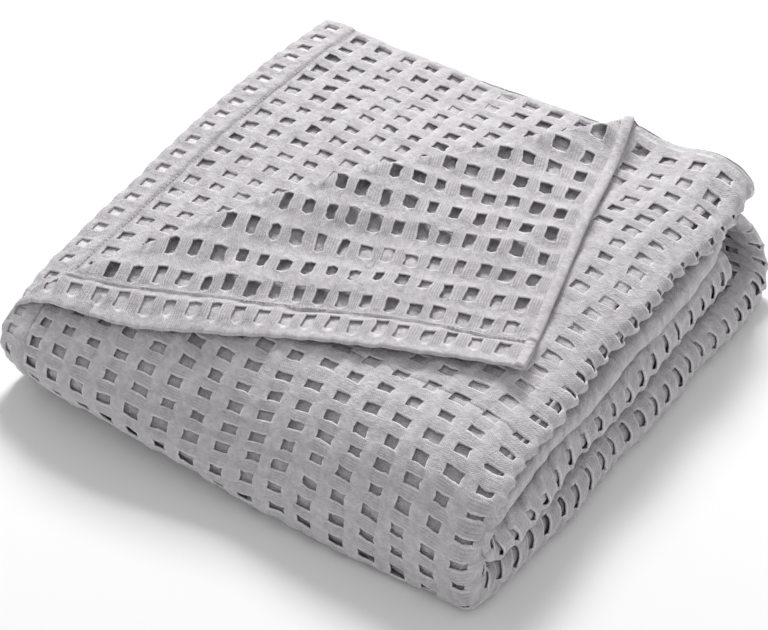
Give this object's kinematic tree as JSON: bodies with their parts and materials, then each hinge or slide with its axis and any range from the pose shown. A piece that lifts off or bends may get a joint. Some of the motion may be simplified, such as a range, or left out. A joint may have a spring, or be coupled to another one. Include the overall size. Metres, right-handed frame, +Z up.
{
  "type": "folded waffle-weave duvet cover",
  "caption": "Light grey open waffle-weave cotton bed cover, hemmed, folded into a soft square pack with the top corner turned over.",
  "frame": {"origin": "middle of the folded pack's footprint, on the surface it rests on", "axes": "+Z up, -Y towards the rounded front fold, +X towards the stacked folds at the right, the turned-over corner at the left and back"},
  "size_m": [0.4442, 0.4644, 0.1208],
  "materials": {
    "cotton": "matt light grey cotton"
  },
  "bodies": {
    "root": {"duvet_cover": "cotton"}
  },
  "joints": []
}
